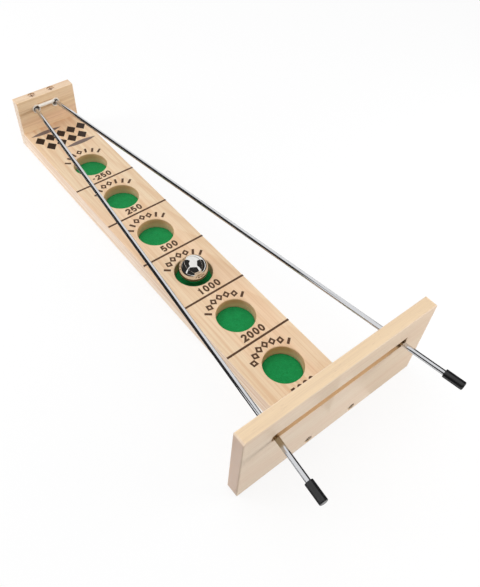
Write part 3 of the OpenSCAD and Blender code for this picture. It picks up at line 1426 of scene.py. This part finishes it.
@dataclass
class Woodwork:
    """The base board and its two uprights.

    Attributes:
        well_clearance_mm: Gap between a felt disc and its well's wall.
        rim_mm: Height of the bare rim above a well's stained and shaded wall.
        slot_length_mm: Length of the front board's slot.
        slot_height_mm: Height of the slot.
        slot_middle_mm: Height of the slot's middle above the table.
        base_pine: The base board's wood, with sides made paler by painted light.
        head_pine: The head block's wood, with ends and top made paler by painted light.
        front_pine: The front board's calm wood, with darker end grain and a top made paler and yellower by
            painted light.
    """

    well_clearance_mm: float = 0.3
    rim_mm: float = 0.4
    slot_length_mm: float = 127.4
    slot_height_mm: float = 7.6
    slot_middle_mm: float = 58.0
    base_pine: WoodFinish = WoodFinish(
        name="base_pine", grain=Grain.LENGTHWISE, cream=paint(243, 219, 187), blush=paint(242, 210, 177),
        ring=paint(222, 180, 138), fibre=paint(222, 184, 146),
        # Painted light makes the sides along X paler; the darker ends along Y are end grain.
        face_grain_and_light_tones=(FaceGrainAndLightTone(Axis.X, paint(255, 239, 224), 0.85),
                    FaceGrainAndLightTone(Axis.Y, paint(226, 196, 160), 0.5)))
    head_pine: WoodFinish = WoodFinish(
        name="head_pine", grain=Grain.CROSSWISE, cream=paint(243, 214, 177), blush=paint(241, 206, 174),
        ring=paint(205, 162, 116), fibre=paint(219, 179, 136),
        # Painted light makes the ends along X and the top paler.
        face_grain_and_light_tones=(FaceGrainAndLightTone(Axis.X, paint(244, 231, 218), 0.85),
                    FaceGrainAndLightTone(Axis.Z, paint(240, 218, 194), 0.6)),
        pith_mm=(260.0, 10.0), pith_lean=(0.02, 0.02), ring_gap_mm=4.2, ring_share=0.24, streak_share=0.35,
        seed=31.0)
    front_pine: WoodFinish = WoodFinish(
        name="front_pine", grain=Grain.CROSSWISE, cream=paint(241, 221, 197), blush=paint(240, 217, 193),
        ring=paint(218, 187, 157), fibre=paint(224, 195, 166),
        # The ends along X are darker end grain; the top's paler, yellower tone is painted light.
        face_grain_and_light_tones=(FaceGrainAndLightTone(Axis.X, paint(212, 187, 171), 0.9),
                    FaceGrainAndLightTone(Axis.Z, paint(250, 222, 183), 0.85)),
        pith_mm=(-290.0, 30.0), pith_lean=(0.02, -0.05), ring_gap_mm=4.0, ring_share=0.12, streak_share=0.2,
        fibre_share=0.3, seed=57.0)

    def build(self) -> None:
        """Dresses the three boards."""
        dress(replace(self.base_pine, stains_and_shade=(self.well_stain_and_shade(),)), "base_board")
        dress(self.head_pine, "head_block")
        dress(replace(self.front_pine, stains_and_shade=(self.slot_stain_and_shade(),)), "front_board")

    def wells(self) -> list[Point]:
        """Finds the wells' middles by the felt discs.

        Returns:
            The middles in millimetres, from the head block.
        """
        made = []
        for i in range(1, WELL_COUNT + 1):
            low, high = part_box(f"felt_disc_{i}")
            made.append(((low.x + high.x) / 2 / MM, (low.y + high.y) / 2 / MM))
        return made

    def well_stain_and_shade(self) -> WellStainAndShade:
        """Gives the stain and painted shade of the wells' walls, placed by the felt discs.

        Returns:
            The stain and painted shade.
        """
        wells = self.wells()
        felt_low, felt_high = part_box("felt_disc_1")
        # The wall colours are partly the drilled wood's darker tone and partly painted shade.
        return WellStainAndShade(first_y_mm=wells[0][1], pitch_mm=wells[0][1] - wells[1][1],
                         radius_mm=(felt_high.x - felt_low.x) / 2 / MM + self.well_clearance_mm,
                         below_mm=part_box("base_board")[1].z / MM - self.rim_mm, floor_mm=felt_high.z / MM,
                         colour=paint(196, 146, 98), low_colour=paint(222, 190, 142))

    def slot_stain_and_shade(self) -> SlotStainAndShade:
        """Gives the stain of the slot's walls, with painted shade beside each rod.

        Returns:
            The stain and painted shade.
        """
        face_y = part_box("front_board")[0].y
        return SlotStainAndShade(length_mm=self.slot_length_mm, height_mm=self.slot_height_mm,
                         middle_z_mm=self.slot_middle_mm,
                         shade_spot_x_mm=tuple(self.rod_rest_mm(side, face_y) for side in Side))

    def rod_rest_mm(self, side: Side, y: float) -> float:
        """Finds where a rod's middle is across the board.

        Args:
            side: The rod's side.
            y: The place along the board, in metres.

        Returns:
            The place across the board in millimetres.
        """
        pivot_low, pivot_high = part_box(f"pivot_screw_{side.value}")
        grip_low, grip_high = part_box(f"grip_{side.value}")
        pivot, grip = (pivot_low + pivot_high) / 2, (grip_low + grip_high) / 2
        return (pivot.x + (grip.x - pivot.x) * (y - pivot.y) / (grip.y - pivot.y)) / MM


@dataclass
class Metalwork:
    """The rods, the strap, the screws and the ball.

    Attributes:
        left_shade_band_mm: How far the left rod's band of painted shade reaches out of the slot.
        right_shade_band_mm: How far the right rod's does.
        shade_band_depth_mm: How far both reach into the slot.
        shade_band_fade_mm: How softly they end.
        painted_shade_colour: Their colour.
        rod: Finish of the rods, still without their band of painted shade.
        strap: Finish of the strap.
        ball: Finish of the ball.
        board_screws: Finish of the screws that hold the boards.
        pivot_screws: Finish of the rods' pivot screws, tinted with a painted reflection of the pale wood
            round them.
    """

    left_shade_band_mm: float = 9.0
    right_shade_band_mm: float = 2.0
    shade_band_depth_mm: float = 8.0
    shade_band_fade_mm: float = 3.0
    painted_shade_colour: Colour = (0.42, 0.36, 0.26)
    rod: MetalFinish = MetalFinish("rod_chrome", paint(214, 215, 218), 0.06, stretch=12.0)
    strap: MetalFinish = MetalFinish("strap_nickel", paint(255, 250, 241), 0.36, metal=0.25)
    ball: MetalFinish = MetalFinish("ball_steel", paint(232, 230, 226), 0.03, mark_depth=4.0e-8, smear=0.02)
    board_screws: MetalFinish = MetalFinish("screw_zinc", paint(182, 173, 158), 0.3, mark_depth=8.0e-7)
    # The pivot screws' wood-coloured tint is a painted reflection of the wood round them.
    pivot_screws: MetalFinish = MetalFinish("pivot_nickel", paint(238, 212, 186), 0.35, mark_depth=8.0e-7)

    def build(self) -> None:
        """Dresses the metal pieces."""
        face_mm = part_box("front_board")[0].y / MM
        # Each rod gets its band of painted shade where it leaves the slot.
        for side, reach_mm in ((Side.LEFT, self.left_shade_band_mm), (Side.RIGHT, self.right_shade_band_mm)):
            band = SlotShadeBand(face_mm - reach_mm, face_mm + self.shade_band_depth_mm, self.shade_band_fade_mm, self.painted_shade_colour)
            dress(replace(self.rod, name=f"rod_chrome_{side.value}", band=band), f"rod_{side.value}")
        dress(self.strap, "pivot_strap")
        dress(self.ball, "ball")
        dress(self.board_screws, "front_board_screws", "head_block_screws")
        dress(self.pivot_screws, "pivot_screw_left", "pivot_screw_right")


@dataclass
class Grips:
    """The rubber sleeves on the rods' ends.

    Attributes:
        rubber: Their rubber.
    """

    rubber: RubberFinish = RubberFinish("grip_rubber", paint(24, 24, 26), paint(38, 37, 39))

    def build(self) -> None:
        """Dresses both sleeves."""
        dress(self.rubber, "grip_left", "grip_right")


@dataclass(frozen=True)
class ReflectionCard:
    """A dark upright card, as a studio puts round polished objects, seen only in reflections: it casts no
    shadow and hides nothing, so it gives painted dark reflections.

    Attributes:
        name: Its name.
        start: One end of its foot.
        end: The other end.
        heights: Its height at each end.
        foot: Height of its foot above the floor.
    """

    name: str
    start: Point
    end: Point
    heights: Point
    foot: float = 0.0

    def corners(self) -> list[Spot]:
        """Gives its four corners in order."""
        return [(*self.start, self.foot), (*self.end, self.foot),
                (*self.end, self.heights[1]), (*self.start, self.heights[0])]


@dataclass(frozen=True)
class FloorReflectionPatch:
    """A dark patch on the floor seen only in reflections, where the floor itself looks white: it gives
    painted dark reflections.

    Attributes:
        name: Its name.
        across: Where it starts and ends in X.
        along: Where it starts and ends in Y.
        lift: Its height above the floor.
    """

    name: str
    across: Point
    along: Point
    lift: float = 0.001

    def corners(self) -> list[Spot]:
        """Gives its four corners in order."""
        (left, right), (near, far) = self.across, self.along
        return [(x, y, self.lift) for x, y in ((left, near), (right, near), (right, far), (left, far))]


@dataclass(frozen=True)
class Softbox:
    """A wide soft lamp aimed at the object.

    Attributes:
        name: Its name.
        place: Where it hangs.
        size: Its two sides.
        power: Its power in watts.
        aim: What it points at.
    """

    name: str
    place: Spot
    size: Point
    power: float
    aim: Spot = (0.0, 0.0, 0.0)

    def hang(self) -> None:
        """Makes the lamp. Metal mirrors the cards and the white room and not the lamp."""
        light = bpy.data.lights.new(self.name, "AREA")
        light.shape = "RECTANGLE"
        light.size, light.size_y = self.size
        light.energy = self.power
        lamp = add_object(self.name, light)
        lamp.location = self.place
        lamp.rotation_euler = (Vector(self.aim) - lamp.location).to_track_quat("-Z", "Y").to_euler()
        lamp.visible_camera = False
        lamp.visible_glossy = False


@dataclass
class Studio:
    """Floor, lamps, world and camera.

    Attributes:
        camera_place: Where the camera stands.
        camera_turn_deg: Its tilt, roll and turn.
        focal_px: Its focal length in pixels of the photograph's frame.
        axis_px: Where its axis meets the photograph's frame.
        sensor_mm: Width of its sensor along the frame's long side.
        floor_size: Side of the floor.
        floor_glow: Share of the floor that looks white whatever falls on it.
        floor_tone: Colour of the floor as the camera and mirrors see it.
        floor_bounce: Colour of the floor for the light that it throws back.
        ambient: Strength of the surroundings as a light.
        card_tint: Colour of the dark cards and floor patches.
        card_glow: Their brightness.
        lamps: The lamps.
        screens: The dark cards and floor patches, which give painted dark reflections.
    """

    camera_place: Spot = (-0.20388, -0.32656, 0.41951)
    camera_turn_deg: Spot = (39.802, -1.375, -37.336)
    focal_px: float = 612.3
    axis_px: Point = (212.0, 280.0)
    sensor_mm: float = 36.0
    floor_size: float = 8.0
    floor_glow: float = 0.8
    floor_tone: Colour = (0.985, 0.985, 0.99)
    floor_bounce: Colour = (0.5, 0.5, 0.5)
    ambient: float = 0.62
    card_tint: Colour = (1.0, 0.97, 0.95)
    card_glow: float = 0.03
    lamps: tuple[Softbox, ...] = (
        Softbox("key_softbox", (-0.25, 0.35, 1.55), (1.7, 1.5), 8.7),
        Softbox("front_softbox", (0.45, -0.46, 0.11), (0.45, 0.18), 1.9, (0.0, -0.22, 0.04)),
        Softbox("side_softbox", (-0.7, 0.5, 0.22), (0.4, 0.35), 3.2, (-0.03, 0.05, 0.02)),
    )
    # Painted dark reflections: cards and floor patches that only reflections show.
    screens: tuple[ReflectionCard | FloorReflectionPatch, ...] = (
        ReflectionCard("card_left_near", (-0.30, -0.03), (-0.60, 0.55), (0.5, 1.25)),
        ReflectionCard("card_left_far", (-0.60, 0.55), (-0.075, 1.4), (1.25, 1.9)),
        ReflectionCard("card_right", (1.44, 0.365), (0.773, -1.335), (2.1, 2.9)),
        ReflectionCard("card_player", (-1.193, -0.174), (0.229, -1.227), (1.48, 1.68)),
        ReflectionCard("card_between_grips", (-0.0065, -0.27), (-0.0065, -0.2196), (0.1, 0.1), foot=0.03),
        ReflectionCard("card_beside_grip", (0.12, -0.27), (0.12, -0.19), (0.17, 0.17), foot=0.04),
        FloorReflectionPatch("cloth_left", (-0.5, -0.04), (-0.19, 0.45)),
        FloorReflectionPatch("cloth_left_far", (-1.3, -0.5), (0.12, 0.9)),
        FloorReflectionPatch("cloth_player", (-1.2, -0.09), (-0.26, -0.215)),
        FloorReflectionPatch("cloth_right", (0.045, 0.19), (-0.35, 0.1)),
    )

    def build(self) -> None:
        """Sets up everything round the object."""
        self.floor()
        for lamp in self.lamps:
            lamp.hang()
        self.world()
        for screen in self.screens:
            self.stand(screen)
        self.camera()
        bpy.context.scene.view_settings.view_transform = "Standard"
        log.info("studio ready with %d lamps and %d dark cards", len(self.lamps), len(self.screens))

    def seen_directly(self, graph: Graph) -> Socket:
        """Tells rays from the camera, a mirror or glass from light on its way to a surface.

        Args:
            graph: The tree to write in.

        Returns:
            1 for such a ray and 0 for light.
        """
        path = graph.node("ShaderNodeLightPath")
        direct = graph.math("ADD", path.outputs["Is Camera Ray"], path.outputs["Is Glossy Ray"])
        direct = graph.math("ADD", direct, path.outputs["Is Transmission Ray"])
        return graph.math("MINIMUM", direct, 1.0)

    def floor(self) -> None:
        """Lays a pale floor that looks white and keeps a faint shadow."""
        deselect()
        bpy.ops.mesh.primitive_plane_add(size=self.floor_size, location=(0.0, 0.0, 0.0))
        floor = bpy.context.object
        floor.name = "floor"
        material, graph = new_material("studio_floor")
        direct = self.seen_directly(graph)
        matt = graph.node("ShaderNodeBsdfDiffuse")
        graph.feed(matt.inputs["Color"], graph.mix(direct, self.floor_bounce, self.floor_tone))
        glow = graph.node("ShaderNodeEmission")
        graph.feed(glow.inputs["Color"], WHITE)
        blend = graph.node("ShaderNodeMixShader")
        share = graph.math("MULTIPLY", direct, self.floor_glow)
        graph.feed_all(blend, (share, matt.outputs[0], glow.outputs[0]))
        graph.surface(blend)
        floor.data.materials.append(material)

    def world(self) -> None:
        """Makes the surroundings white to look at and softer as a light."""
        world = bpy.data.worlds.new("studio_world")
        world.use_nodes = True
        bpy.context.scene.world = world
        graph = Graph(world.node_tree)
        glow = graph.node("ShaderNodeBackground")
        strength = Fade(0.0, 1.0, self.ambient, 1.0, smooth=False).read(graph, self.seen_directly(graph))
        graph.feed_all(glow, (WHITE, strength))
        graph.surface(glow, "ShaderNodeOutputWorld")

    def stand(self, screen: ReflectionCard | FloorReflectionPatch) -> None:
        """Puts one dark card or floor patch, seen only in reflections, in its place.

        Args:
            screen: The card or floor patch.
        """
        deselect()
        bpy.ops.mesh.primitive_plane_add(size=1.0)
        panel = bpy.context.object
        panel.name = screen.name
        for vertex, place in zip(sorted_round(panel.data), screen.corners()):
            vertex.co = place
        material, graph = new_material(screen.name)
        glow = graph.node("ShaderNodeEmission")
        graph.feed_all(glow, (self.card_tint, self.card_glow))
        graph.surface(glow)
        panel.data.materials.append(material)
        # Hidden from every ray but reflections, so it only gives a painted dark reflection.
        for ray in ("camera", "diffuse", "transmission", "volume_scatter", "shadow"):
            setattr(panel, f"visible_{ray}", False)

    def camera(self) -> None:
        """Stands the camera where the photograph was taken from."""
        lens = bpy.data.cameras.new("photo_camera")
        long_side = max(PHOTO_WIDTH_PX, PHOTO_HEIGHT_PX)
        lens.sensor_width = self.sensor_mm
        lens.lens = self.sensor_mm * self.focal_px / long_side
        lens.shift_x = (PHOTO_WIDTH_PX / 2 - self.axis_px[0]) / long_side
        lens.shift_y = (self.axis_px[1] - PHOTO_HEIGHT_PX / 2) / long_side
        camera = add_object("photo_camera", lens)
        camera.location = self.camera_place
        camera.rotation_euler = tuple(math.radians(a) for a in self.camera_turn_deg)
        bpy.context.scene.camera = camera


def sorted_round(mesh: bpy.types.Mesh) -> list[bpy.types.MeshVertex]:
    """Gives a single face's vertices in their order round the face."""
    return [mesh.vertices[i] for i in mesh.polygons[0].vertices]


def main() -> None:
    """Builds and dresses every sub-assembly in order."""
    logging.basicConfig(level=logging.INFO, format="%(message)s")
    woodwork = Woodwork()
    woodwork.build()
    Printing().build(woodwork.wells())
    FeltDiscs().build()
    Metalwork().build()
    Grips().build()
    Studio().build()


if __name__ == "__main__":
    main()
